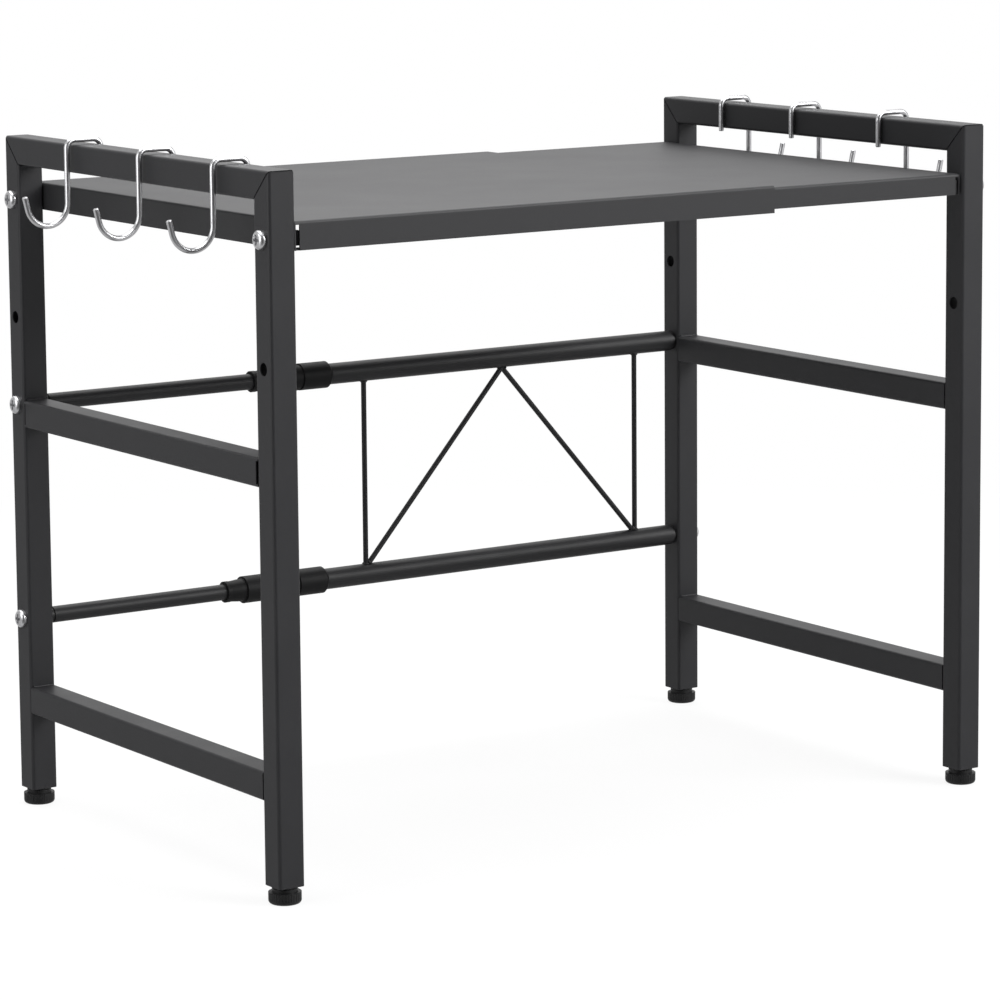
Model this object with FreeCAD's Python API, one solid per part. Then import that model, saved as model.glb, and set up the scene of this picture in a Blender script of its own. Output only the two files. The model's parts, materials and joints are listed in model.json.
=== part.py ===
import FreeCAD, Part
import math
import os

# Expandable microwave shelf rack: two welded side frames of square tube, a shelf of two sliding
# sheet panels, two telescoping crossbars with a rod truss, wire hooks and levelling feet.
# Millimetres, +X to the right, +Y to the back, +Z up, origin on the floor under the middle.

# Whole rack, set to the width in use
rack_width = 608.0         # over the posts, left to right
rack_depth = 370.0         # over the posts, front to back
frame_height = 480.0       # from the posts' lower ends to the top of the top rails
foot_drop = 12.0           # from the floor to the posts' lower ends

# Square tube of the side frames, heights above the posts' lower ends
tube_size = 20.0
tube_wall = 1.0
tube_corner = 2.2          # outside corner radius
middle_rail_top = 289.0
bottom_rail_top = 77.0
rail_relief = 2.2          # the middle rails' outer walls stop this short of the posts
spare_hole_dia = 9.0
mitre_turn = 45.0          # degrees, the joint of posts and top rails
mitre_groove = 1.2         # width of the seam where posts and top rails meet
mitre_groove_depth = 0.6

# Shelf, two folded sheet panels: the left one is outside, the right one slides inside it
shelf_drop = 34.0          # top face, below the top of the frames
shelf_step = 85.5          # from the shelf's bolts down to the spare holes, its second place
sheet = 1.0
fold_radius = 2.0          # outside radius of the folds
left_flange = 19.5         # overall height of the left panel
right_flange = 15.4        # overall height of the right panel
left_panel_length = 396.0
right_panel_length = 360.0
panel_inset = 2.0          # flange face behind the posts' front and back faces
panel_end_gap = 0.5        # between a panel's end and the posts
panel_slide_gap = 0.4      # between the two panels
return_lip = 9.0           # inward lip under the left panel's long flanges
corner_slot = 3.0          # relief between the long flanges and the end flange
corner_slot_roof = 2.5     # sheet left above that relief
shelf_bolt_drop = 11.5     # bolt line under the shelf's top face

# Crossbars between the rear posts, heights above the posts' lower ends
upper_bar_height = 285.0
lower_bar_height = 127.0
inner_tube_dia = 12.0
inner_tube_wall = 1.0
inner_tube_length = 340.0
outer_tube_dia = 16.0
outer_tube_wall = 1.2
inner_plug_collar = 4.0    # length of end plug that shows between post and tube
outer_plug_collar = 3.0
inner_plug_collar_dia = 10.5
outer_plug_collar_dia = 14.5
plug_spigot = 16.0         # plug length inside its tube
plug_play = 0.05           # radial, plug in tube
guide_cap_length = 8.0     # cap on the inner tube's free end
guide_cap_spigot = 10.0
guide_cap_bore = 5.0
guide_play = 0.3           # radial, guide cap in the outer tube

# Twist collars on the crossbars
upper_gland_place = 176.0  # gland's end face, from the left posts' inner faces
lower_gland_place = 150.0
upper_sleeve_length = 52.0
lower_sleeve_length = 72.0
sleeve_dia = 20.5
sleeve_chamfer = 2.0
sleeve_groove_place = 29.0  # ring groove, from the sleeve's chamfered end
sleeve_groove_width = 3.4
sleeve_groove_depth = 1.0
gland_length = 16.0        # gland that shows outside the sleeve
gland_lip = 3.5            # length of the ring at the gland's end
gland_lip_dia = 16.0
gland_neck_dia = 15.2
gland_seat_dia = 17.6      # gland where it meets the sleeve
gland_spigot = 10.0        # gland length inside the sleeve
collar_play = 0.3          # radial, collar on both tubes
tube_stop_gap = 1.0        # from the gland's spigot to the outer tube's end

# Truss of round rod between the outer tubes
rod_dia = 4.0
truss_first = 276.5        # left upright, from the left posts' inner faces
truss_span = 255.0         # between the uprights
truss_toe = 2.5            # diagonal's foot, beside its upright

# Wire hooks over the top rails, places from the rear posts' front faces
wire_dia = 4.0
hook_inside = 23.0         # clear width of the square top
hook_inner_gap = 0.4       # inner leg to the rail
hook_seat_gap = 1.5        # top wire to the rail
hook_bend = 6.0            # centreline radius of the two top bends
hook_inner_drop = 2.0      # inner leg, below the rail
hook_leg_drop = 20.0       # straight outer leg, below the rail
hook_curl = 16.0           # centreline radius of the lower curl
hook_tip_lean = 14.0       # degrees, how far the tip leans outwards
hook_tip = 9.5             # straight tip beyond the curl
left_hook_places = {"rear": 83.0, "middle": 186.0, "front": 286.0}
right_hook_places = {"rear": 61.0, "middle": 150.0, "front": 255.0}

# Levelling feet
foot_dia = 22.5
foot_pad = 8.0             # height of the wide part
foot_edge = 2.5            # radius of the pad's lower edge
foot_neck_dia = 17.5
foot_neck = 2.5
foot_flutes = 36           # grip grooves round the pad
flute_radius = 0.6
flute_depth = 0.3
stem_dia = 8.0
stem_length = 29.0
stem_cover = 3.0           # pad left under the stem
stem_play = 0.2            # radial, stem in the insert
insert_height = 16.0

# Bolts and nuts
bolt_dia = 6.0
bolt_play = 0.3            # radial, bolt in the drilled holes
thread_play = 0.1          # radial, bolt in nuts and plugs
head_dia = 13.2
head_height = 4.2
head_edge = 1.4            # straight side of the head
recess_length = 7.0        # cross recess
recess_width = 1.8
recess_depth = 2.2
nut_flats = 10.0           # square weld nuts on the shelf's end flanges
nut_height = 5.0
bolt_overrun = 1.5         # bolt end past its nut
crossbar_bolt_bite = 13.0  # bolt length inside the end plug

edge_match = 1e-6          # how near an edge lies to where it is looked for

# Places worked out from the sizes above
post_x = rack_width / 2 - tube_size / 2
post_y = rack_depth / 2 - tube_size / 2
inner_face = rack_width / 2 - tube_size
outer_face = rack_width / 2
rail_length = rack_depth - 2 * tube_size
frame_top = foot_drop + frame_height
rail_under = frame_top - tube_size
shelf_z = frame_top - shelf_drop
shelf_bolt_z = shelf_z - shelf_bolt_drop
spare_hole_z = shelf_bolt_z - shelf_step
bar_z = {"upper": foot_drop + upper_bar_height, "lower": foot_drop + lower_bar_height}
bar_y = post_y
gland_place = {"upper": upper_gland_place, "lower": lower_gland_place}
sleeve_length = {"upper": upper_sleeve_length, "lower": lower_sleeve_length}
left_inner = -inner_face
inner_tube_start = left_inner + inner_plug_collar
outer_tube_end = inner_face - outer_plug_collar
sides = {"left": -1, "right": 1}
ends = {"front": -1, "rear": 1}
vector = FreeCAD.Vector
along_x = vector(1, 0, 0)
along_y = vector(0, 1, 0)
along_z = vector(0, 0, 1)


def rod(dia, length, start, direction):
    return Part.makeCylinder(dia / 2, length, start, direction)


def box(low, high):
    size = high.sub(low)
    return Part.makeBox(size.x, size.y, size.z, low)


def rounded_bar(size, corner, length, direction):
    # A square bar with rounded long edges, centred on the origin's axis and starting there.
    bar = Part.makeBox(size, size, length, vector(-size / 2, -size / 2, 0))
    long_edges = [edge for edge in bar.Edges if abs(edge.tangentAt(edge.FirstParameter).z) > 0.9]
    bar = bar.makeFillet(corner, long_edges)
    turn = FreeCAD.Rotation(along_z, direction)
    bar.Placement = FreeCAD.Placement(vector(0, 0, 0), turn)
    return bar


def square_tube(length, start, direction):
    outside = rounded_bar(tube_size, tube_corner, length, direction)
    bore_corner = max(tube_corner - tube_wall, tube_corner / 4)
    inside = rounded_bar(tube_size - 2 * tube_wall, bore_corner, length, direction)
    tube = outside.cut(inside)
    tube.translate(start)
    return tube


def mitre_wedge(side, end):
    # What the joint takes off a post's top corner, seen along X.
    y_out = end * rack_depth / 2
    y_in = end * (rack_depth / 2 - tube_size)
    x_start = side * post_x - tube_size
    corners = [
        vector(x_start, y_out, frame_top),
        vector(x_start, y_in, rail_under),
        vector(x_start, y_in, frame_top + tube_size),
        vector(x_start, y_out, frame_top + tube_size),
    ]
    face = Part.Face(Part.makePolygon(corners + corners[:1]))
    return face.extrude(vector(2 * tube_size, 0, 0))


def mitre_seam(side, end):
    # A thin plate along the joint of a post and its top rail, wider than both.
    reach = 2 * tube_size
    plate = Part.makeBox(reach, reach, mitre_groove, vector(-reach / 2, -reach / 2, -mitre_groove / 2))
    plate.rotate(vector(0, 0, 0), along_x, end * mitre_turn)
    plate.translate(vector(side * post_x, end * post_y, frame_top - tube_size / 2))
    return plate


def groove_core(start, length, direction):
    # What a seam groove leaves standing inside a tube's outer skin.
    core_size = tube_size - 2 * mitre_groove_depth
    core_corner = max(tube_corner - mitre_groove_depth, tube_corner / 4)
    core = rounded_bar(core_size, core_corner, length, direction)
    core.translate(start)
    return core


def cross_hole(side, end, height, dia):
    start = vector(side * post_x - tube_size, end * post_y, height)
    return rod(dia, 2 * tube_size, start, along_x)


def post(side, end):
    start = vector(side * post_x, end * post_y, foot_drop)
    body = square_tube(frame_height, start, along_z)
    body = body.cut(mitre_wedge(side, end))
    body = body.cut(mitre_seam(side, end).cut(groove_core(start, frame_height, along_z)))
    drilled = bolt_dia + 2 * bolt_play
    body = body.cut(cross_hole(side, end, shelf_bolt_z, drilled))
    body = body.cut(cross_hole(side, end, spare_hole_z, spare_hole_dia))
    if end > 0:
        for height in bar_z.values():
            body = body.cut(cross_hole(side, end, height, drilled))
    return body


def top_rail(side):
    start = vector(side * post_x, -rack_depth / 2, frame_top - tube_size / 2)
    rail = square_tube(rack_depth, start, along_y)
    for end in ends.values():
        y_out = end * rack_depth / 2
        y_in = end * (rack_depth / 2 - tube_size)
        x_start = side * post_x - tube_size
        corners = [
            vector(x_start, y_out + end * tube_size, frame_top + tube_size),
            vector(x_start, y_in - end * tube_size, rail_under - tube_size),
            vector(x_start, y_out + end * tube_size, rail_under - tube_size),
        ]
        face = Part.Face(Part.makePolygon(corners + corners[:1]))
        rail = rail.cut(face.extrude(vector(2 * tube_size, 0, 0)))
        rail = rail.cut(mitre_seam(side, end).cut(groove_core(start, rack_depth, along_y)))
    return rail


def rail_middle(height):
    return foot_drop + height - tube_size / 2


def cross_rail(side, height):
    return square_tube(rail_length, vector(side * post_x, -rail_length / 2, rail_middle(height)), along_y)


def relieved_rail(side, height):
    # A cross rail whose outer wall stops short of the posts, between its rounded corners.
    rail = cross_rail(side, height)
    flat = tube_size / 2 - tube_corner
    cut_x = sorted((side * post_x, side * (post_x + tube_size)))
    for end in ends.values():
        cut_y = sorted((end * rail_length / 2, end * (rail_length / 2 - rail_relief)))
        low = vector(cut_x[0], cut_y[0], rail_middle(height) - flat)
        high = vector(cut_x[1], cut_y[1], rail_middle(height) + flat)
        rail = rail.cut(box(low, high))
    return rail


def folded_tray(length, half_depth, top, flange):
    # A tray open below and at its right end, closed by a flange at its left end at x = 0.
    outside = box(vector(0, -half_depth, top - flange), vector(length, half_depth, top))
    upper_edges = []
    for edge in outside.Edges:
        middle = edge.CenterOfMass
        if abs(middle.z - top) < edge_match and middle.x < length - edge_match:
            upper_edges.append(edge)
    outside = outside.makeFillet(fold_radius, upper_edges)
    low = vector(sheet, -half_depth + sheet, top - flange)
    high = vector(length + tube_size, half_depth - sheet, top - sheet)
    inside = box(low, high)
    inside_edges = []
    for edge in inside.Edges:
        middle = edge.CenterOfMass
        if abs(middle.z - high.z) < edge_match and middle.x < high.x - edge_match:
            inside_edges.append(edge)
    inside = inside.makeFillet(max(fold_radius - sheet, fold_radius / 4), inside_edges)
    tray = outside.cut(inside)
    for end in ends.values():
        face_y = end * half_depth
        slot_low = min(face_y, face_y - end * 2 * sheet) - sheet
        slot_high = max(face_y, face_y - end * 2 * sheet) + sheet
        slot = box(vector(sheet, slot_low, top - flange - sheet),
                   vector(sheet + corner_slot, slot_high, top - corner_slot_roof))
        tray = tray.cut(slot)
        bolt_hole = rod(bolt_dia + 2 * bolt_play, 4 * sheet,
                        vector(-2 * sheet, end * post_y, shelf_bolt_z), along_x)
        tray = tray.cut(bolt_hole)
    return tray


def left_panel():
    half_depth = rack_depth / 2 - panel_inset
    tray = folded_tray(left_panel_length, half_depth, shelf_z, left_flange)
    bottom = shelf_z - left_flange
    for end in ends.values():
        near = end * (half_depth - sheet)
        far = end * (half_depth - sheet - return_lip)
        lip = box(vector(0, min(near, far), bottom),
                  vector(left_panel_length, max(near, far), bottom + sheet))
        tray = tray.fuse(lip)
    tray = tray.removeSplitter()
    tray.translate(vector(left_inner + panel_end_gap, 0, 0))
    return tray


def right_panel():
    half_depth = rack_depth / 2 - panel_inset - sheet - panel_slide_gap
    top = shelf_z - sheet - panel_slide_gap
    tray = folded_tray(right_panel_length, half_depth, top, right_flange)
    tray.rotate(vector(0, 0, 0), along_z, 180)
    tray.translate(vector(inner_face - panel_end_gap, 0, 0))
    return tray


def round_tube(dia, wall, start_x, end_x, height):
    start = vector(start_x, bar_y, height)
    length = end_x - start_x
    return rod(dia, length, start, along_x).cut(rod(dia - 2 * wall, length, start, along_x))


def inner_tube(level):
    return round_tube(inner_tube_dia, inner_tube_wall, inner_tube_start,
                      inner_tube_start + inner_tube_length, bar_z[level])


def sleeve_start(level):
    return left_inner + gland_place[level] + gland_length


def outer_tube(level):
    start_x = sleeve_start(level) + gland_spigot + tube_stop_gap
    return round_tube(outer_tube_dia, outer_tube_wall, start_x, outer_tube_end, bar_z[level])


def end_plug(level, face_x, direction, collar, collar_dia, bore_of_tube):
    # A collar against the post and a spigot in the tube, bored for the crossbar bolt.
    start = vector(face_x, bar_y, bar_z[level])
    plug = rod(collar_dia, collar, start, direction)
    plug = plug.fuse(rod(bore_of_tube - 2 * plug_play, collar + plug_spigot, start, direction))
    plug = plug.removeSplitter()
    return plug.cut(rod(bolt_dia + 2 * thread_play, collar + plug_spigot, start, direction))


def inner_plugs():
    bore = inner_tube_dia - 2 * inner_tube_wall
    return Part.makeCompound([
        end_plug(level, left_inner, along_x, inner_plug_collar, inner_plug_collar_dia, bore)
        for level in bar_z
    ])


def outer_plugs():
    bore = outer_tube_dia - 2 * outer_tube_wall
    return Part.makeCompound([
        end_plug(level, inner_face, along_x.negative(), outer_plug_collar, outer_plug_collar_dia, bore)
        for level in bar_z
    ])


def guide_caps():
    caps = []
    tube_end = inner_tube_start + inner_tube_length
    for height in bar_z.values():
        start = vector(tube_end, bar_y, height)
        cap = rod(outer_tube_dia - 2 * outer_tube_wall - 2 * guide_play, guide_cap_length, start, along_x)
        spigot = rod(inner_tube_dia - 2 * inner_tube_wall - 2 * plug_play, guide_cap_spigot,
                     start, along_x.negative())
        cap = cap.fuse(spigot).removeSplitter()
        bore_start = vector(tube_end - guide_cap_spigot, bar_y, height)
        caps.append(cap.cut(rod(guide_cap_bore, guide_cap_spigot + guide_cap_length, bore_start, along_x)))
    return Part.makeCompound(caps)


def turned(outline, start):
    # A solid of revolution about X from (x, radius) points.
    points = [vector(x, radius, 0) for x, radius in outline]
    face = Part.Face(Part.makePolygon(points + points[:1]))
    solid = face.revolve(vector(0, 0, 0), along_x, 360)
    solid.translate(start)
    return solid


def gland(level):
    bore = inner_tube_dia / 2 + collar_play
    spigot = outer_tube_dia / 2 + collar_play
    outline = [
        (0, bore),
        (0, gland_lip_dia / 2),
        (gland_lip, gland_lip_dia / 2),
        (gland_lip, gland_neck_dia / 2),
        (gland_length, gland_seat_dia / 2),
        (gland_length, spigot),
        (gland_length + gland_spigot, spigot),
        (gland_length + gland_spigot, bore),
    ]
    return turned(outline, vector(left_inner + gland_place[level], bar_y, bar_z[level]))


def sleeve(level):
    length = sleeve_length[level]
    groove_start = length - sleeve_groove_place
    bore = outer_tube_dia / 2 + collar_play
    outline = [
        (0, bore),
        (0, sleeve_dia / 2),
        (groove_start, sleeve_dia / 2),
        (groove_start, sleeve_dia / 2 - sleeve_groove_depth),
        (groove_start + sleeve_groove_width, sleeve_dia / 2 - sleeve_groove_depth),
        (groove_start + sleeve_groove_width, sleeve_dia / 2),
        (length - sleeve_chamfer, sleeve_dia / 2),
        (length, max(sleeve_dia / 2 - sleeve_chamfer, bore + sheet / 4)),
        (length, bore),
    ]
    return turned(outline, vector(sleeve_start(level), bar_y, bar_z[level]))


def bars_solid():
    bars = [rod(outer_tube_dia, rack_width, vector(left_inner, bar_y, height), along_x)
            for height in bar_z.values()]
    return bars[0].fuse(bars[1])


truss_left_x = left_inner + truss_first
truss_right_x = truss_left_x + truss_span
truss_apex_x = (truss_left_x + truss_right_x) / 2


def truss_upright(x):
    height = bar_z["upper"] - bar_z["lower"]
    upright = rod(rod_dia, height, vector(x, bar_y, bar_z["lower"]), along_z)
    return largest_solid(upright.cut(bars_solid()))


def largest_solid(shape):
    return max(shape.Solids, key=lambda solid: solid.Volume)


def truss_diagonal(foot_x, side):
    # From beside an upright's foot to the middle of the upper bar; side says which way it leans.
    foot = vector(foot_x + side * truss_toe, bar_y, bar_z["lower"] + outer_tube_dia / 2)
    apex = vector(truss_apex_x, bar_y, bar_z["upper"] - outer_tube_dia / 2)
    run = apex.sub(foot)
    direction = vector(run).normalize()
    start = foot.sub(direction * rod_dia)
    diagonal = rod(rod_dia, run.Length + 2 * rod_dia, start, direction)
    diagonal = diagonal.cut(bars_solid())
    upright_start = vector(foot_x, bar_y, bar_z["lower"])
    diagonal = diagonal.cut(rod(rod_dia, bar_z["upper"] - bar_z["lower"], upright_start, along_z))
    other_side = box(vector(min(0, side * truss_span), -rod_dia, -rod_dia),
                     vector(max(0, side * truss_span), rod_dia, rod_dia + outer_tube_dia * 2))
    other_side.translate(vector(truss_apex_x, bar_y, bar_z["upper"] - outer_tube_dia * 2))
    return largest_solid(diagonal.cut(other_side))


def hook(side, from_rear):
    # Bent wire in the XZ plane: inner leg, over the rail, outer leg, curl, tip.
    wire = wire_dia / 2
    place = rail_length / 2 - from_rear
    inner_x = inner_face - hook_inner_gap - wire
    outer_x = inner_x + hook_inside + wire_dia
    top_z = frame_top + hook_seat_gap + wire
    curl_x = outer_x + hook_curl
    curl_z = rail_under - hook_leg_drop
    bend_reach = hook_bend * math.sin(math.pi / 4)
    lean_x = math.sin(math.radians(hook_tip_lean))
    lean_z = math.cos(math.radians(hook_tip_lean))

    def at(x, z):
        return vector(side * x, place, z)

    inner_end = at(inner_x, rail_under - hook_inner_drop)
    curl_end = at(curl_x + hook_curl * lean_z, curl_z - hook_curl * lean_x)
    tip_end = curl_end.add(vector(side * lean_x, 0, lean_z) * hook_tip)
    bend_z = top_z - hook_bend
    path = Part.Wire([
        Part.makeLine(inner_end, at(inner_x, bend_z)),
        Part.Arc(at(inner_x, bend_z), at(inner_x + hook_bend - bend_reach, bend_z + bend_reach),
                 at(inner_x + hook_bend, top_z)).toShape(),
        Part.makeLine(at(inner_x + hook_bend, top_z), at(outer_x - hook_bend, top_z)),
        Part.Arc(at(outer_x - hook_bend, top_z), at(outer_x - hook_bend + bend_reach, bend_z + bend_reach),
                 at(outer_x, bend_z)).toShape(),
        Part.makeLine(at(outer_x, bend_z), at(outer_x, curl_z)),
        Part.Arc(at(outer_x, curl_z), at(curl_x, curl_z - hook_curl), curl_end).toShape(),
        Part.makeLine(curl_end, tip_end),
    ])
    section = Part.Wire(Part.makeCircle(wire, inner_end, along_z))
    return path.makePipeShell([section], True, False)


def foot_pad_solid(side, end):
    pad = rod(foot_dia, foot_pad, vector(0, 0, 0), along_z)
    lower_edge = [edge for edge in pad.Edges if abs(edge.CenterOfMass.z) < edge_match]
    pad = pad.makeFillet(foot_edge, lower_edge)
    flute_centre = foot_dia / 2 + flute_radius - flute_depth
    for number in range(foot_flutes):
        turn = 2 * math.pi * number / foot_flutes
        start = vector(flute_centre * math.cos(turn), flute_centre * math.sin(turn), foot_edge)
        pad = pad.cut(rod(2 * flute_radius, foot_pad, start, along_z))
    neck = rod(foot_neck_dia, foot_neck, vector(0, 0, foot_pad), along_z)
    pad = pad.fuse(neck).removeSplitter()
    pad = pad.cut(rod(stem_dia, foot_pad + foot_neck, vector(0, 0, stem_cover), along_z))
    pad.translate(vector(side * post_x, end * post_y, 0))
    return pad


def foot_stem(side, end):
    return rod(stem_dia, stem_length, vector(side * post_x, end * post_y, stem_cover), along_z)


def leg_insert(side, end):
    bore_corner = max(tube_corner - tube_wall, tube_corner / 4)
    insert = rounded_bar(tube_size - 2 * tube_wall, bore_corner, insert_height, along_z)
    insert = insert.cut(rod(stem_dia + 2 * stem_play, insert_height, vector(0, 0, 0), along_z))
    insert.translate(vector(side * post_x, end * post_y, foot_drop))
    return insert


def pan_bolt(face_x, side, place, height, reach):
    # Head on the post's outer face; the shank runs inwards by the given reach.
    inward = vector(-side, 0, 0)
    head = rod(head_dia, head_height, vector(0, 0, 0), inward.negative())
    crown = [edge for edge in head.Edges if abs(abs(edge.CenterOfMass.x) - head_height) < edge_match]
    head = head.makeFillet(head_height - head_edge, crown)
    bolt = head.fuse(rod(bolt_dia, reach, vector(0, 0, 0), inward)).removeSplitter()
    for half_y, half_z in ((recess_length / 2, recess_width / 2), (recess_width / 2, recess_length / 2)):
        deep = side * (head_height - recess_depth)
        clear = side * (head_height + recess_depth)
        slot = box(vector(min(deep, clear), -half_y, -half_z), vector(max(deep, clear), half_y, half_z))
        bolt = bolt.cut(slot)
    bolt.translate(vector(face_x, place, height))
    return bolt


def shelf_bolts(side):
    reach = tube_size + panel_end_gap + sheet + nut_height + bolt_overrun
    return Part.makeCompound([
        pan_bolt(side * outer_face, side, end * post_y, shelf_bolt_z, reach) for end in ends.values()
    ])


def crossbar_bolts(side):
    reach = tube_size + crossbar_bolt_bite
    return Part.makeCompound([
        pan_bolt(side * outer_face, side, bar_y, height, reach) for height in bar_z.values()
    ])


def shelf_nuts(side):
    # Square weld nuts behind the end flange of the shelf's panel.
    nuts = []
    start_x = side * (inner_face - panel_end_gap - sheet)
    far_x = start_x - side * nut_height
    half = nut_flats / 2
    for end in ends.values():
        low = vector(min(start_x, far_x), end * post_y - half, shelf_bolt_z - half)
        high = vector(max(start_x, far_x), end * post_y + half, shelf_bolt_z + half)
        bore_start = vector(low.x, end * post_y, shelf_bolt_z)
        nuts.append(box(low, high).cut(rod(bolt_dia + 2 * thread_play, nut_height, bore_start, along_x)))
    return Part.makeCompound(nuts)


parts = {}
for side_name, side in sides.items():
    for end_name, end in ends.items():
        parts[f"{side_name}_{end_name}_post"] = post(side, end)
        parts[f"{side_name}_{end_name}_leg_insert"] = leg_insert(side, end)
        parts[f"{side_name}_{end_name}_foot_pad"] = foot_pad_solid(side, end)
        parts[f"{side_name}_{end_name}_foot_stem"] = foot_stem(side, end)
    parts[f"{side_name}_top_rail"] = top_rail(side)
    parts[f"{side_name}_middle_rail"] = relieved_rail(side, middle_rail_top)
    parts[f"{side_name}_bottom_rail"] = cross_rail(side, bottom_rail_top)
    parts[f"{side_name}_shelf_bolts"] = shelf_bolts(side)
    parts[f"{side_name}_shelf_nuts"] = shelf_nuts(side)
    parts[f"{side_name}_crossbar_bolts"] = crossbar_bolts(side)
for place_name, from_rear in left_hook_places.items():
    parts[f"left_{place_name}_hook"] = hook(sides["left"], from_rear)
for place_name, from_rear in right_hook_places.items():
    parts[f"right_{place_name}_hook"] = hook(sides["right"], from_rear)
for level in bar_z:
    parts[f"{level}_inner_tube"] = inner_tube(level)
    parts[f"{level}_outer_tube"] = outer_tube(level)
    parts[f"{level}_gland"] = gland(level)
    parts[f"{level}_sleeve"] = sleeve(level)
parts["inner_tube_plugs"] = inner_plugs()
parts["outer_tube_plugs"] = outer_plugs()
parts["inner_tube_guides"] = guide_caps()
parts["truss_left_upright"] = truss_upright(truss_left_x)
parts["truss_right_upright"] = truss_upright(truss_right_x)
parts["truss_left_diagonal"] = truss_diagonal(truss_left_x, 1)
parts["truss_right_diagonal"] = truss_diagonal(truss_right_x, -1)
parts["left_shelf_panel"] = left_panel()
parts["right_shelf_panel"] = right_panel()

os.makedirs("parts", exist_ok=True)
for name, shape in parts.items():
    if not shape.isValid():
        raise ValueError(f"{name} is not a valid shape")
    shape.exportStep(f"parts/{name}.step")
print(len(parts), "parts written")
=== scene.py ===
import bpy
import json
import math
from mathutils import Matrix, Vector


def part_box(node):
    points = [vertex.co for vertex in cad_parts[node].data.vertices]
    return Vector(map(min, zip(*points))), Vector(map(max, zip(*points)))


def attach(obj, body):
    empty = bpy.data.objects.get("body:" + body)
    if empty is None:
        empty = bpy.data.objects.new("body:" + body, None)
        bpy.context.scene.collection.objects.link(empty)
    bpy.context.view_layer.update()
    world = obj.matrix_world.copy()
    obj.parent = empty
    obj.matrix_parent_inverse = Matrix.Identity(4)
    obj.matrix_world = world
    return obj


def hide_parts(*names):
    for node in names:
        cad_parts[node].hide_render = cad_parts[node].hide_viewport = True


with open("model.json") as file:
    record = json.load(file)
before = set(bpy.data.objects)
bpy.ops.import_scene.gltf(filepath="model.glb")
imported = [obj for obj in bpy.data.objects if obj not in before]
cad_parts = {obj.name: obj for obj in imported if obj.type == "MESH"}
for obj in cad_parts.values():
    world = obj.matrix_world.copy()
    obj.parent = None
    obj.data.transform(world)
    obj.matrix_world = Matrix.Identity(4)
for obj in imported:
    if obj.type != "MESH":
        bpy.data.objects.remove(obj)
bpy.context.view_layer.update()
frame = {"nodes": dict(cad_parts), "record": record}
nodes = frame["nodes"]
scene = bpy.context.scene
scene.view_settings.view_transform = "Standard"
mm = 0.001  # everything in the scene is in metres
white = (1, 1, 1, 1)
sides = {"left": -1, "right": 1}
ends = {"front": -1, "rear": 1}
print("frame loaded,", len(nodes), "nodes")


def hexColour(code):
    channels = [int(code[start:start + 2], 16) / 255 for start in (1, 3, 5)]
    linear = [c / 12.92 if c <= 0.04045 else ((c + 0.055) / 1.055) ** 2.4 for c in channels]
    return linear + [1.0]


def addNode(tree, kind, settings=None, inputs=None):
    node = tree.nodes.new(kind)
    for name, value in (settings or {}).items():
        setattr(node, name, value)
    for name, value in (inputs or {}).items():
        if isinstance(value, bpy.types.NodeSocket):
            tree.links.new(value, node.inputs[name])
        else:
            node.inputs[name].default_value = value
    return node


def perMetre(sizeMm):
    # The scale of a noise whose spots are about this wide.
    return 1 / (sizeMm * mm)


def newMaterial(name):
    material = bpy.data.materials.new(name)
    material.use_nodes = True
    tree = material.node_tree
    tree.nodes.clear()
    shader = addNode(tree, "ShaderNodeBsdfPrincipled")
    addNode(tree, "ShaderNodeOutputMaterial", inputs={"Surface": shader.outputs["BSDF"]})
    place = addNode(tree, "ShaderNodeTexCoord").outputs["Object"]
    return material, tree, shader, place


# The two noises of a finish: their detail, the grain's share in the gloss, and the span that gloss follows
noiseMix = {"mottleDetail": 3.0, "grainDetail": 2.0, "grainShare": 0.5, "glossSpan": (0.45, 1.05)}


def patternedMaterial(name, look):
    # Two noises: a slow mottle for colour and gloss, a fine grain for bump and gloss.
    material, tree, shader, place = newMaterial(name)
    mottle = addNode(tree, "ShaderNodeTexNoise", None, {
        "Vector": place, "Scale": perMetre(look["mottleMm"]), "Detail": noiseMix["mottleDetail"]})
    grain = addNode(tree, "ShaderNodeTexNoise", None, {
        "Vector": place, "Scale": perMetre(look["grainMm"]), "Detail": noiseMix["grainDetail"]})
    blend = addNode(tree, "ShaderNodeMix", {"data_type": "RGBA"}, {
        0: mottle.outputs["Fac"], 6: hexColour(look["dark"]), 7: hexColour(look["pale"])})
    both = addNode(tree, "ShaderNodeMath", {"operation": "MULTIPLY_ADD"}, {
        0: grain.outputs["Fac"], 1: noiseMix["grainShare"], 2: mottle.outputs["Fac"]})
    gloss = addNode(tree, "ShaderNodeMapRange", None, {
        "Value": both.outputs[0], "From Min": noiseMix["glossSpan"][0], "From Max": noiseMix["glossSpan"][1],
        "To Min": look["roughness"][0], "To Max": look["roughness"][1]})
    bump = addNode(tree, "ShaderNodeBump", None, {
        "Strength": look["bumpStrength"], "Distance": look["bumpMm"] * mm, "Height": grain.outputs["Fac"]})
    tree.links.new(blend.outputs[2], shader.inputs["Base Color"])
    tree.links.new(gloss.outputs["Result"], shader.inputs["Roughness"])
    tree.links.new(bump.outputs["Normal"], shader.inputs["Normal"])
    shader.inputs["Metallic"].default_value = look["metallic"]
    shader.inputs["Specular IOR Level"].default_value = look["specular"]
    return material


# Polyester powder coat on steel tube: near black, satin, with a faint orange peel.
# The real peel is about 0.5 mm across; it is drawn coarser so that it shows at this distance.
powderLook = {"dark": "#222224", "pale": "#272729", "mottleMm": 42.0, "grainMm": 1.4, "specular": 0.3,
              "roughness": (0.42, 0.5), "bumpMm": 0.05, "bumpStrength": 0.3, "metallic": 0.0}
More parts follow.
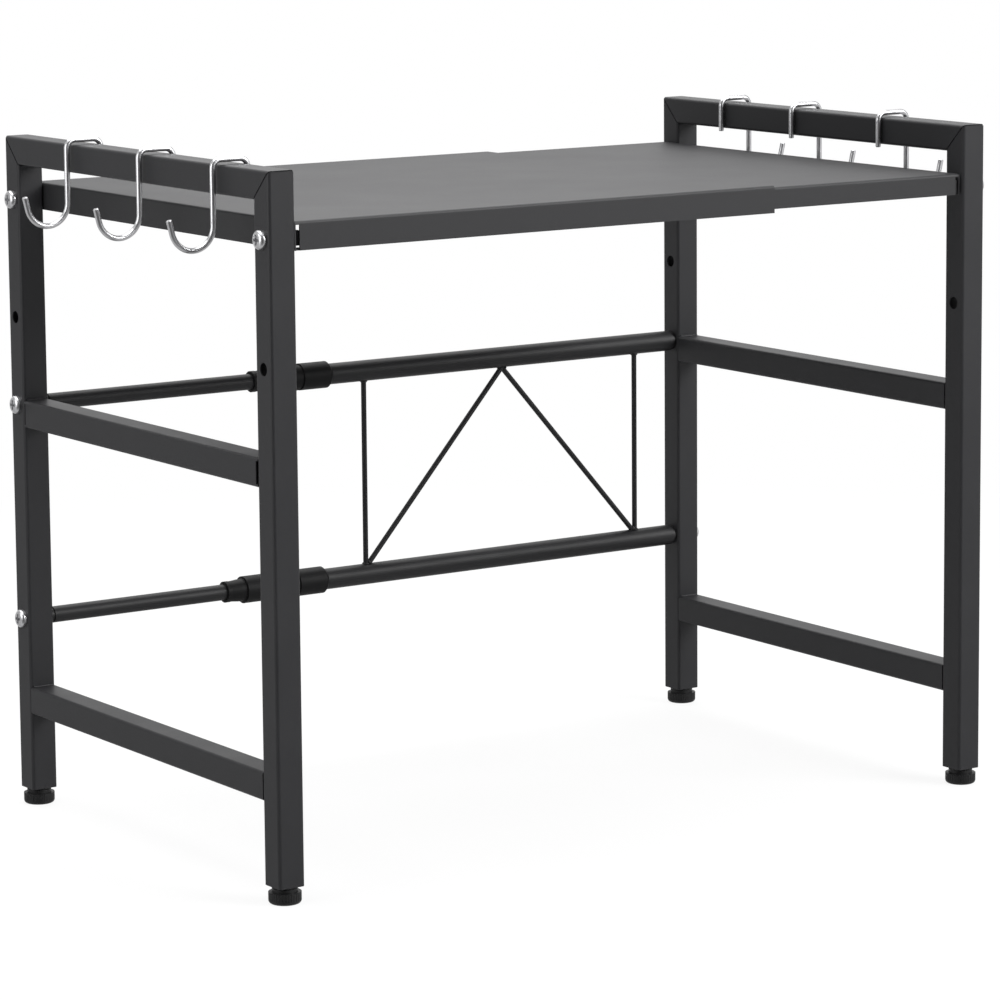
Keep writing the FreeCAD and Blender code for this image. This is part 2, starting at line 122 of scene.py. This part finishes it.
# The same coat on the round bars and rods, where it runs out thinner and smoother; its colour is set darker
# than the tube coat's as painted shade, for the dark surroundings the round bars mirror.
barShadedLook = {"dark": "#18181a", "pale": "#1c1c1d", "mottleMm": 30.0, "grainMm": 0.9, "specular": 0.32,
           "roughness": (0.47, 0.53), "bumpMm": 0.02, "bumpStrength": 0.08, "metallic": 0.0}
# The same coat on flat sheet, which levels out even and mirrors its surroundings at a low angle.
sheetLook = {"dark": "#202022", "pale": "#232325", "mottleMm": 70.0, "grainMm": 1.6, "specular": 0.4,
             "roughness": (0.53, 0.58), "bumpMm": 0.04, "bumpStrength": 0.2, "metallic": 0.0}
# Drawn stainless wire, buffed: bright, with faint drawing marks that soften what it mirrors.
wireLook = {"dark": "#d2d2d4", "pale": "#e0e0e2", "mottleMm": 9.0, "grainMm": 0.7, "specular": 0.5,
            "roughness": (0.27, 0.32), "bumpMm": 0.01, "bumpStrength": 0.03, "metallic": 1.0}
# Bright zinc plate on steel screws: slightly milky, with a soft mottle.
zincLook = {"dark": "#d2d2d4", "pale": "#e4e4e6", "mottleMm": 4.0, "grainMm": 0.5, "specular": 0.5,
            "roughness": (0.28, 0.38), "bumpMm": 0.01, "bumpStrength": 0.2, "metallic": 1.0}
# Injection-moulded polypropylene feet and plugs: black with a spark-eroded grain.
footLook = {"dark": "#131314", "pale": "#19191a", "mottleMm": 12.0, "grainMm": 0.7, "specular": 0.4,
            "roughness": (0.42, 0.54), "bumpMm": 0.05, "bumpStrength": 0.4, "metallic": 0.0}
# Moulded nylon collars: black, with a finer and duller grain than the feet.
collarLook = {"dark": "#0d0d0e", "pale": "#121213", "mottleMm": 16.0, "grainMm": 0.9, "specular": 0.18,
              "roughness": (0.52, 0.6), "bumpMm": 0.04, "bumpStrength": 0.25, "metallic": 0.0}

finishes = {
    "frame_tube": patternedMaterial("powderCoatTube", powderLook),
    "shelf_sheet": patternedMaterial("powderCoatSheet", sheetLook),
    "hook_wire": patternedMaterial("buffedWire", wireLook),
    "plated_steel": patternedMaterial("zincPlate", zincLook),
    "black_plastic": patternedMaterial("mouldedFoot", footLook),
    "collar_plastic": patternedMaterial("mouldedCollar", collarLook),
}
# The bars' finish: the tube coat darkened with painted shade.
barShadedFinish = patternedMaterial("powderCoatBarPaintedShade", barShadedLook)
for part in frame["record"]["subparts"]:
    mesh = nodes[part["node"]].data
    roundBar = part["node"].startswith("truss_") or part["node"].endswith("_tube")
    mesh.materials.clear()
    mesh.materials.append(barShadedFinish if roundBar else finishes[part["material_slot"]])
print("finishes set on the frame's nodes")


def newTree(name, sizes):
    # A geometry tree with one named number for each size; returns the tree and its sockets.
    tree = bpy.data.node_groups.new(name, "GeometryNodeTree")
    tree.interface.new_socket("Geometry", in_out="INPUT", socket_type="NodeSocketGeometry")
    tree.interface.new_socket("Geometry", in_out="OUTPUT", socket_type="NodeSocketGeometry")
    for sizeName in sizes:
        tree.interface.new_socket(sizeName, in_out="INPUT", socket_type="NodeSocketFloat")
    entry = addNode(tree, "NodeGroupInput")
    return tree, entry.outputs


sharpDegrees = 38  # edges that turn more than this stay crisp


def closeTree(tree, geometry, finish):
    # Smooth all over, but for the edges where two faces turn sharply.
    whole = addNode(tree, "GeometryNodeRealizeInstances", None, {"Geometry": geometry})
    smooth = addNode(tree, "GeometryNodeSetShadeSmooth", None, {"Geometry": whole.outputs[0]})
    bend = addNode(tree, "GeometryNodeInputMeshEdgeAngle").outputs["Unsigned Angle"]
    sharp = addNode(tree, "ShaderNodeMath", {"operation": "GREATER_THAN"}, {
        0: bend, 1: math.radians(sharpDegrees)})
    creased = addNode(tree, "GeometryNodeSetShadeSmooth", {"domain": "EDGE"}, {
        "Geometry": smooth.outputs[0], "Selection": sharp.outputs[0], "Shade Smooth": False})
    painted = addNode(tree, "GeometryNodeSetMaterial", None, {
        "Geometry": creased.outputs[0], "Material": finish})
    addNode(tree, "NodeGroupOutput", None, {0: painted.outputs[0]})


def lineMesh(name, lines):
    # Edges only: each line is (points, closed).
    points, edges = [], []
    for line, closed in lines:
        first = len(points)
        points += [tuple(point) for point in line]
        edges += [(number, number + 1) for number in range(first, len(points) - 1)]
        if closed:
            edges.append((len(points) - 1, first))
    mesh = bpy.data.meshes.new(name)
    mesh.from_pydata(points, edges, [])
    return mesh


def bakeTree(name, mesh, tree, sizes, body):
    # Runs a tree on a mesh and keeps the result as a plain piece that rides on a body.
    host = bpy.data.objects.new(name + "Host", mesh)
    scene.collection.objects.link(host)
    modifier = host.modifiers.new("shape", "NODES")
    modifier.node_group = tree
    for item in tree.interface.items_tree:
        if item.in_out == "INPUT" and item.name in sizes:
            modifier[item.identifier] = sizes[item.name]
    bpy.context.view_layer.update()
    depsgraph = bpy.context.evaluated_depsgraph_get()
    made = bpy.data.meshes.new_from_object(host.evaluated_get(depsgraph))
    bpy.data.objects.remove(host)
    piece = bpy.data.objects.new(name, made)
    made.name = name
    scene.collection.objects.link(piece)
    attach(piece, body)
    return piece


# Wire hooks: a bent path over the rail, swept by a round section, its ends cut flat and deburred
hookSizes = {"wireMm": 4.0, "insideMm": 23.0, "bendMm": 6.0, "curlMm": 16.0, "innerDropMm": 2.0,
             "tipLeanDegrees": 14.0, "tipMm": 9.5, "bendSteps": 16, "curlSteps": 64,
             "stepMm": 0.5, "deburrMm": 0.4, "endShare": 0.8, "facets": 28}


def wireTree():
    tree, sizes = newTree("bentWire", ("wireRadius", "step", "deburr", "endShare"))
    path = addNode(tree, "GeometryNodeMeshToCurve", None, {"Mesh": sizes["Geometry"]})
    even = addNode(tree, "GeometryNodeResampleCurve", {"mode": "LENGTH"}, {
        "Curve": path.outputs[0], "Length": sizes["step"]})
    along = addNode(tree, "GeometryNodeSplineParameter").outputs["Length"]
    total = addNode(tree, "GeometryNodeSplineLength").outputs["Length"]
    ahead = addNode(tree, "ShaderNodeMath", {"operation": "SUBTRACT"}, {0: total, 1: along})
    near = addNode(tree, "ShaderNodeMath", {"operation": "MINIMUM"}, {0: along, 1: ahead.outputs[0]})
    taper = addNode(tree, "ShaderNodeMapRange", None, {
        "Value": near.outputs[0], "From Max": sizes["deburr"], "To Min": sizes["endShare"], "To Max": 1.0})
    section = addNode(tree, "GeometryNodeCurvePrimitiveCircle", None, {
        "Resolution": hookSizes["facets"], "Radius": sizes["wireRadius"]})
    swept = addNode(tree, "GeometryNodeCurveToMesh", None, {
        "Curve": even.outputs[0], "Profile Curve": section.outputs[0],
        "Scale": taper.outputs["Result"], "Fill Caps": True})
    closeTree(tree, swept.outputs[0], finishes["hook_wire"])
    return tree


def arc(centre, radius, startTurn, endTurn, steps):
    turns = [startTurn + (endTurn - startTurn) * number / steps for number in range(steps + 1)]
    return [(centre[0] + radius * math.cos(turn), centre[1] + radius * math.sin(turn)) for turn in turns]


def hookPath(node, sideName):
    # From the inner end up over the rail, down its outer face and round the curl to the tip.
    side = sides[sideName]
    low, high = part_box(node)
    wire = hookSizes["wireMm"] / 2 * mm
    bend = hookSizes["bendMm"] * mm
    curl = hookSizes["curlMm"] * mm
    tip = hookSizes["tipMm"] * mm
    lean = math.radians(hookSizes["tipLeanDegrees"])
    innerX = min(abs(low.x), abs(high.x)) + wire
    outerX = innerX + (hookSizes["insideMm"] + hookSizes["wireMm"]) * mm
    topZ = high.z - wire
    curlZ = low.z + wire + curl
    middleY = (low.y + high.y) / 2
    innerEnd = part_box(f"{sideName}_top_rail")[0].z - hookSizes["innerDropMm"] * mm
    flat = [(innerX, innerEnd)]
    flat += arc((innerX + bend, topZ - bend), bend, math.pi, math.pi / 2, hookSizes["bendSteps"])
    flat += arc((outerX - bend, topZ - bend), bend, math.pi / 2, 0, hookSizes["bendSteps"])
    flat += arc((outerX + curl, curlZ), curl, math.pi, 2 * math.pi - lean, hookSizes["curlSteps"])
    endX, endZ = flat[-1]
    flat.append((endX + tip * math.sin(lean), endZ + tip * math.cos(lean)))
    return [Vector((side * x, middleY, z)) for x, z in flat]


bentWire = wireTree()
for sideName in sides:
    for station in ("front", "middle", "rear"):
        node = f"{sideName}_{station}_hook"
        hook = bakeTree(node + "Wire", lineMesh(node, [(hookPath(node, sideName), False)]), bentWire, {
            "wireRadius": hookSizes["wireMm"] / 2 * mm, "step": hookSizes["stepMm"] * mm,
            "deburr": hookSizes["deburrMm"] * mm, "endShare": hookSizes["endShare"]}, node)
        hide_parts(node)
print("hooks bent")


# Weld beads: short rippled runs over and under the rails' ends, and rings round the truss rods.
# A slanted rod's rings lean with it, are shifted along the bar and stay clear of its surface.
weldSizes = {"beadMm": 1.0, "cornerMm": 2.4, "rodBeadMm": 1.0, "stepMm": 0.5, "rippleMm": 1.6,
             "rippleShare": 0.35, "rippleDetail": 1.0, "facets": 10, "ringSteps": 20,
             "rodLeanDegrees": 40.0, "footShiftMm": 2.5, "apexShiftMm": 1.5, "clearMm": 1.0}
noiseMiddle = 0.5  # a noise swings about this value


def weldTree(name, finish):
    tree, sizes = newTree(name, ("beadRadius", "step", "rippleScale", "rippleShare"))
    path = addNode(tree, "GeometryNodeMeshToCurve", None, {"Mesh": sizes["Geometry"]})
    even = addNode(tree, "GeometryNodeResampleCurve", {"mode": "LENGTH"}, {
        "Curve": path.outputs[0], "Length": sizes["step"]})
    ripple = addNode(tree, "ShaderNodeTexNoise", None, {
        "Scale": sizes["rippleScale"], "Detail": weldSizes["rippleDetail"]})
    centred = addNode(tree, "ShaderNodeMath", {"operation": "SUBTRACT"}, {
        0: ripple.outputs["Fac"], 1: noiseMiddle})
    swell = addNode(tree, "ShaderNodeMath", {"operation": "MULTIPLY_ADD"}, {
        0: centred.outputs[0], 1: sizes["rippleShare"], 2: 1.0})
    section = addNode(tree, "GeometryNodeCurvePrimitiveCircle", None, {
        "Resolution": weldSizes["facets"], "Radius": sizes["beadRadius"]})
    swept = addNode(tree, "GeometryNodeCurveToMesh", None, {
        "Curve": even.outputs[0], "Profile Curve": section.outputs[0],
        "Scale": swell.outputs[0], "Fill Caps": True})
    closeTree(tree, swept.outputs[0], finish)
    return tree


def railRuns(node, end):
    # The runs in the two corners where a rail's top and underside meet a post.
    low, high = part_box(node)
    corner = weldSizes["cornerMm"] * mm
    y = high.y if end > 0 else low.y
    startX, endX = low.x + corner, high.x - corner
    return [([Vector((startX, y, z)), Vector((endX, y, z))], False) for z in (low.z, high.z)]


def rodRing(x, z, tilt, radius):
    # A ring round a truss rod where it meets a bar; tilt leans it with a slanted rod.
    barY = sum(corner.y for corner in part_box("upper_outer_tube")) / 2
    ring = []
    for number in range(weldSizes["ringSteps"]):
        turn = 2 * math.pi * number / weldSizes["ringSteps"]
        across, deep = radius * math.cos(turn), radius * math.sin(turn)
        ring.append(Vector((x + across * math.cos(tilt), barY + deep, z + across * math.sin(tilt))))
    return ring, True


railBead = weldTree("railBead", finishes["frame_tube"])
# The rings round the rods take the bars' finish, and so its painted shade.
rodBead = weldTree("rodBead", barShadedFinish)
weldInputs = {"step": weldSizes["stepMm"] * mm, "rippleScale": perMetre(weldSizes["rippleMm"]),
              "rippleShare": weldSizes["rippleShare"]}
for sideName in sides:
    runs = []
    for rail in ("middle", "bottom"):
        for end in ends.values():
            runs += railRuns(f"{sideName}_{rail}_rail", end)
    bakeTree(f"{sideName}RailWelds", lineMesh("railRuns", runs), railBead,
             {**weldInputs, "beadRadius": weldSizes["beadMm"] * mm}, f"{sideName}_half")

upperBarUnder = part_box("upper_outer_tube")[0].z
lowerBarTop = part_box("lower_outer_tube")[1].z
rodRadius = (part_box("truss_left_upright")[1].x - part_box("truss_left_upright")[0].x) / 2
clear = weldSizes["clearMm"] * mm
rings = []
for sideName, side in sides.items():
    low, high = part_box(f"truss_{sideName}_upright")
    uprightX = (low.x + high.x) / 2
    rings += [rodRing(uprightX, lowerBarTop, 0, rodRadius), rodRing(uprightX, upperBarUnder, 0, rodRadius)]
    diagonalLow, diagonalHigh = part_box(f"truss_{sideName}_diagonal")
    lean = side * math.radians(weldSizes["rodLeanDegrees"])
    footX = uprightX - side * weldSizes["footShiftMm"] * mm
    apexX = (diagonalLow.x if side > 0 else diagonalHigh.x) + side * weldSizes["apexShiftMm"] * mm
    rings += [rodRing(footX, lowerBarTop + clear, lean, rodRadius),
              rodRing(apexX, upperBarUnder - clear, lean, rodRadius)]
bakeTree("trussWelds", lineMesh("trussRings", rings), rodBead,
         {**weldInputs, "beadRadius": weldSizes["rodBeadMm"] * mm}, "right_half")
print("welds run")


# Levelling stems: a rolled thread wound round its core
threadSizes = {"pitchMm": 1.25, "ridgeMm": 0.62, "sectionFacets": 5, "turnSteps": 28, "coreFacets": 32}


def threadTree():
    # Makes the whole stem from its sizes, so the mesh it runs on is empty.
    tree, sizes = newTree("rolledThread", ("coreRadius", "length", "turns", "ridge"))
    spiral = addNode(tree, "GeometryNodeCurveSpiral", None, {
        "Resolution": threadSizes["turnSteps"], "Rotations": sizes["turns"],
        "Start Radius": sizes["coreRadius"], "End Radius": sizes["coreRadius"], "Height": sizes["length"]})
    section = addNode(tree, "GeometryNodeCurvePrimitiveCircle", None, {
        "Resolution": threadSizes["sectionFacets"], "Radius": sizes["ridge"]})
    ridge = addNode(tree, "GeometryNodeCurveToMesh", None, {
        "Curve": spiral.outputs[0], "Profile Curve": section.outputs[0], "Fill Caps": True})
    core = addNode(tree, "GeometryNodeMeshCylinder", None, {
        "Vertices": threadSizes["coreFacets"], "Radius": sizes["coreRadius"], "Depth": sizes["length"]})
    half = addNode(tree, "ShaderNodeMath", {"operation": "MULTIPLY"}, {0: sizes["length"], 1: 0.5})
    lift = addNode(tree, "ShaderNodeCombineXYZ", None, {"Z": half.outputs[0]})
    raised = addNode(tree, "GeometryNodeTransform", None, {
        "Geometry": core.outputs[0], "Translation": lift.outputs[0]})
    joined = addNode(tree, "GeometryNodeJoinGeometry")
    tree.links.new(ridge.outputs[0], joined.inputs[0])
    tree.links.new(raised.outputs[0], joined.inputs[0])
    closeTree(tree, joined.outputs[0], finishes["plated_steel"])
    return tree


rolledThread = threadTree()
for sideName in sides:
    for endName in ends:
        node = f"{sideName}_{endName}_foot_stem"
        low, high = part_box(node)
        ridge = threadSizes["ridgeMm"] * mm
        core = (high.x - low.x) / 2 - ridge
        length = high.z - low.z - 2 * ridge
        stem = bakeTree(node + "Thread", lineMesh(node, []), rolledThread, {
            "coreRadius": core, "length": length, "turns": length / (threadSizes["pitchMm"] * mm),
            "ridge": ridge}, f"{sideName}_{endName}_foot")
        centre = (low + high) / 2
        stem.data.transform(Matrix.Translation((centre.x, centre.y, low.z + ridge)))
        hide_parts(node)
print("stems threaded")


# Stage: a pale floor and soft light that leave the rack on white, as in a catalogue picture.
# The floor is whitened by nearWhite up to nearM from the origin, and fully from farM on.
stageSizes = {"floorM": 30.0, "floor": "#f6f6f6", "floorRoughness": 0.9, "nearM": 0.4, "farM": 1.4,
              "nearWhite": 0.88, "ambient": 0.3, "roomDepth": (0.56, 0.83, 0.0)}
# What gloss sees of the room, from in front of the rack (-1) round its sides to behind it (1)
roomLevels = ((-1.0, 0.1), (-0.75, 0.16), (-0.375, 0.66), (0.375, 0.36), (1.0, 1.0))


def pathShare(tree):
    # One for rays that come straight from the camera, or from gloss or glass.
    light = addNode(tree, "ShaderNodeLightPath")
    first = addNode(tree, "ShaderNodeMath", {"operation": "MAXIMUM"}, {
        0: light.outputs["Is Camera Ray"], 1: light.outputs["Is Glossy Ray"]})
    return addNode(tree, "ShaderNodeMath", {"operation": "MAXIMUM"}, {
        0: first.outputs[0], 1: light.outputs["Is Transmission Ray"]}).outputs[0]


def buildFloor():
    half = stageSizes["floorM"] / 2
    mesh = bpy.data.meshes.new("floor")
    corners = [(-half, -half, 0), (half, -half, 0), (half, half, 0), (-half, half, 0)]
    mesh.from_pydata(corners, [], [(0, 1, 2, 3)])
    floor = bpy.data.objects.new("floor", mesh)
    scene.collection.objects.link(floor)
    material, tree, shader, place = newMaterial("paleFloor")
    shader.inputs["Base Color"].default_value = hexColour(stageSizes["floor"])
    shader.inputs["Roughness"].default_value = stageSizes["floorRoughness"]
    shader.inputs["Specular IOR Level"].default_value = 0.0
    away = addNode(tree, "ShaderNodeVectorMath", {"operation": "LENGTH"}, {0: place})
    fade = addNode(tree, "ShaderNodeMapRange", None, {
        "Value": away.outputs["Value"], "From Min": stageSizes["nearM"], "From Max": stageSizes["farM"],
        "To Min": stageSizes["nearWhite"], "To Max": 1.0})
    whiten = addNode(tree, "ShaderNodeMath", {"operation": "MULTIPLY"}, {
        0: pathShare(tree), 1: fade.outputs["Result"]})
    glow = addNode(tree, "ShaderNodeEmission", None, {"Color": white, "Strength": 1.0})
    mixed = addNode(tree, "ShaderNodeMixShader", None, {
        0: whiten.outputs[0], 1: shader.outputs["BSDF"], 2: glow.outputs[0]})
    output = next(node for node in tree.nodes if node.type == "OUTPUT_MATERIAL")
    tree.links.new(mixed.outputs[0], output.inputs["Surface"])
    mesh.materials.append(material)
    floor.visible_glossy = False  # gloss sees the room's levels instead


def buildWorld():
    # White behind the rack for the camera; gloss also sees the dimmer room in front of it.
    world = bpy.data.worlds.new("studio")
    scene.world = world
    world.use_nodes = True
    tree = world.node_tree
    tree.nodes.clear()
    facing = addNode(tree, "ShaderNodeTexCoord").outputs["Generated"]
    depth = addNode(tree, "ShaderNodeVectorMath", {"operation": "DOT_PRODUCT"}, {
        0: facing, 1: stageSizes["roomDepth"]})
    share = addNode(tree, "ShaderNodeMapRange", None, {"Value": depth.outputs["Value"], "From Min": -1.0})
    room = addNode(tree, "ShaderNodeValToRGB", None, {"Fac": share.outputs["Result"]})
    stops = room.color_ramp.elements
    positions = [(where + 1) / 2 for where, level in roomLevels]
    for position in positions[1:-1]:
        stops.new(position)
    for stop, position, (where, level) in zip(stops, positions, roomLevels):
        stop.position = position
        stop.color = (level, level, level, 1)
    straight = addNode(tree, "ShaderNodeLightPath").outputs["Is Camera Ray"]
    seen = addNode(tree, "ShaderNodeMix", {"data_type": "FLOAT"}, {
        0: straight, 2: room.outputs["Color"], 3: 1.0})
    strength = addNode(tree, "ShaderNodeMix", {"data_type": "FLOAT"}, {
        0: pathShare(tree), 2: stageSizes["ambient"], 3: seen.outputs[0]})
    background = addNode(tree, "ShaderNodeBackground", None, {
        "Color": white, "Strength": strength.outputs[0]})
    addNode(tree, "ShaderNodeOutputWorld", None, {"Surface": background.outputs[0]})


# Softboxes: name, place, aimed at, size, watts
softboxes = (
    ("keyBox", (1.5, -2.3, 1.7), (0.0, 0.0, 0.25), 1.6, 85.0),
    ("sideBox", (-1.2, 0.0, 0.6), (-0.3, 0.0, 0.3), 0.8, 4.0),
    ("topBox", (0.1, 0.4, 2.7), (0.0, 0.0, 0.3), 3.0, 100.0),
    ("rimBox", (1.2, 1.9, 1.9), (0.0, 0.0, 0.4), 1.2, 5.0),
)


def buildLights():
    for name, place, target, size, watts in softboxes:
        lamp = bpy.data.lights.new(name, "AREA")
        lamp.shape = "SQUARE"
        lamp.size = size
        lamp.energy = watts
        holder = bpy.data.objects.new(name, lamp)
        holder.location = place
        holder.rotation_euler = (Vector(target) - Vector(place)).to_track_quat("-Z", "Y").to_euler()
        holder.visible_camera = False
        scene.collection.objects.link(holder)


# Camera: place in metres, turns in degrees, focal length in pixels of the square picture
cameraSetup = {"place": (-1.7049, -2.5342, 0.7372), "yaw": 33.939, "pitch": -8.259, "roll": -0.476,
               "focalPx": 4216.1, "picturePx": 1000, "sensorMm": 36.0, "shiftUp": -0.1, "reachM": 100.0}


def buildCamera():
    data = bpy.data.cameras.new("view")
    data.sensor_width = cameraSetup["sensorMm"]
    data.lens = cameraSetup["focalPx"] / cameraSetup["picturePx"] * cameraSetup["sensorMm"]
    data.shift_y = cameraSetup["shiftUp"]
    data.clip_end = cameraSetup["reachM"]
    camera = bpy.data.objects.new("view", data)
    turn = Matrix.Rotation(-math.radians(cameraSetup["yaw"]), 4, "Z")
    tip = Matrix.Rotation(math.pi / 2 + math.radians(cameraSetup["pitch"]), 4, "X")
    roll = Matrix.Rotation(math.radians(cameraSetup["roll"]), 4, "Z")
    camera.matrix_world = Matrix.Translation(cameraSetup["place"]) @ turn @ tip @ roll
    scene.collection.objects.link(camera)
    scene.camera = camera


buildFloor()
buildWorld()
buildLights()
buildCamera()
print("stage, lights and camera set")
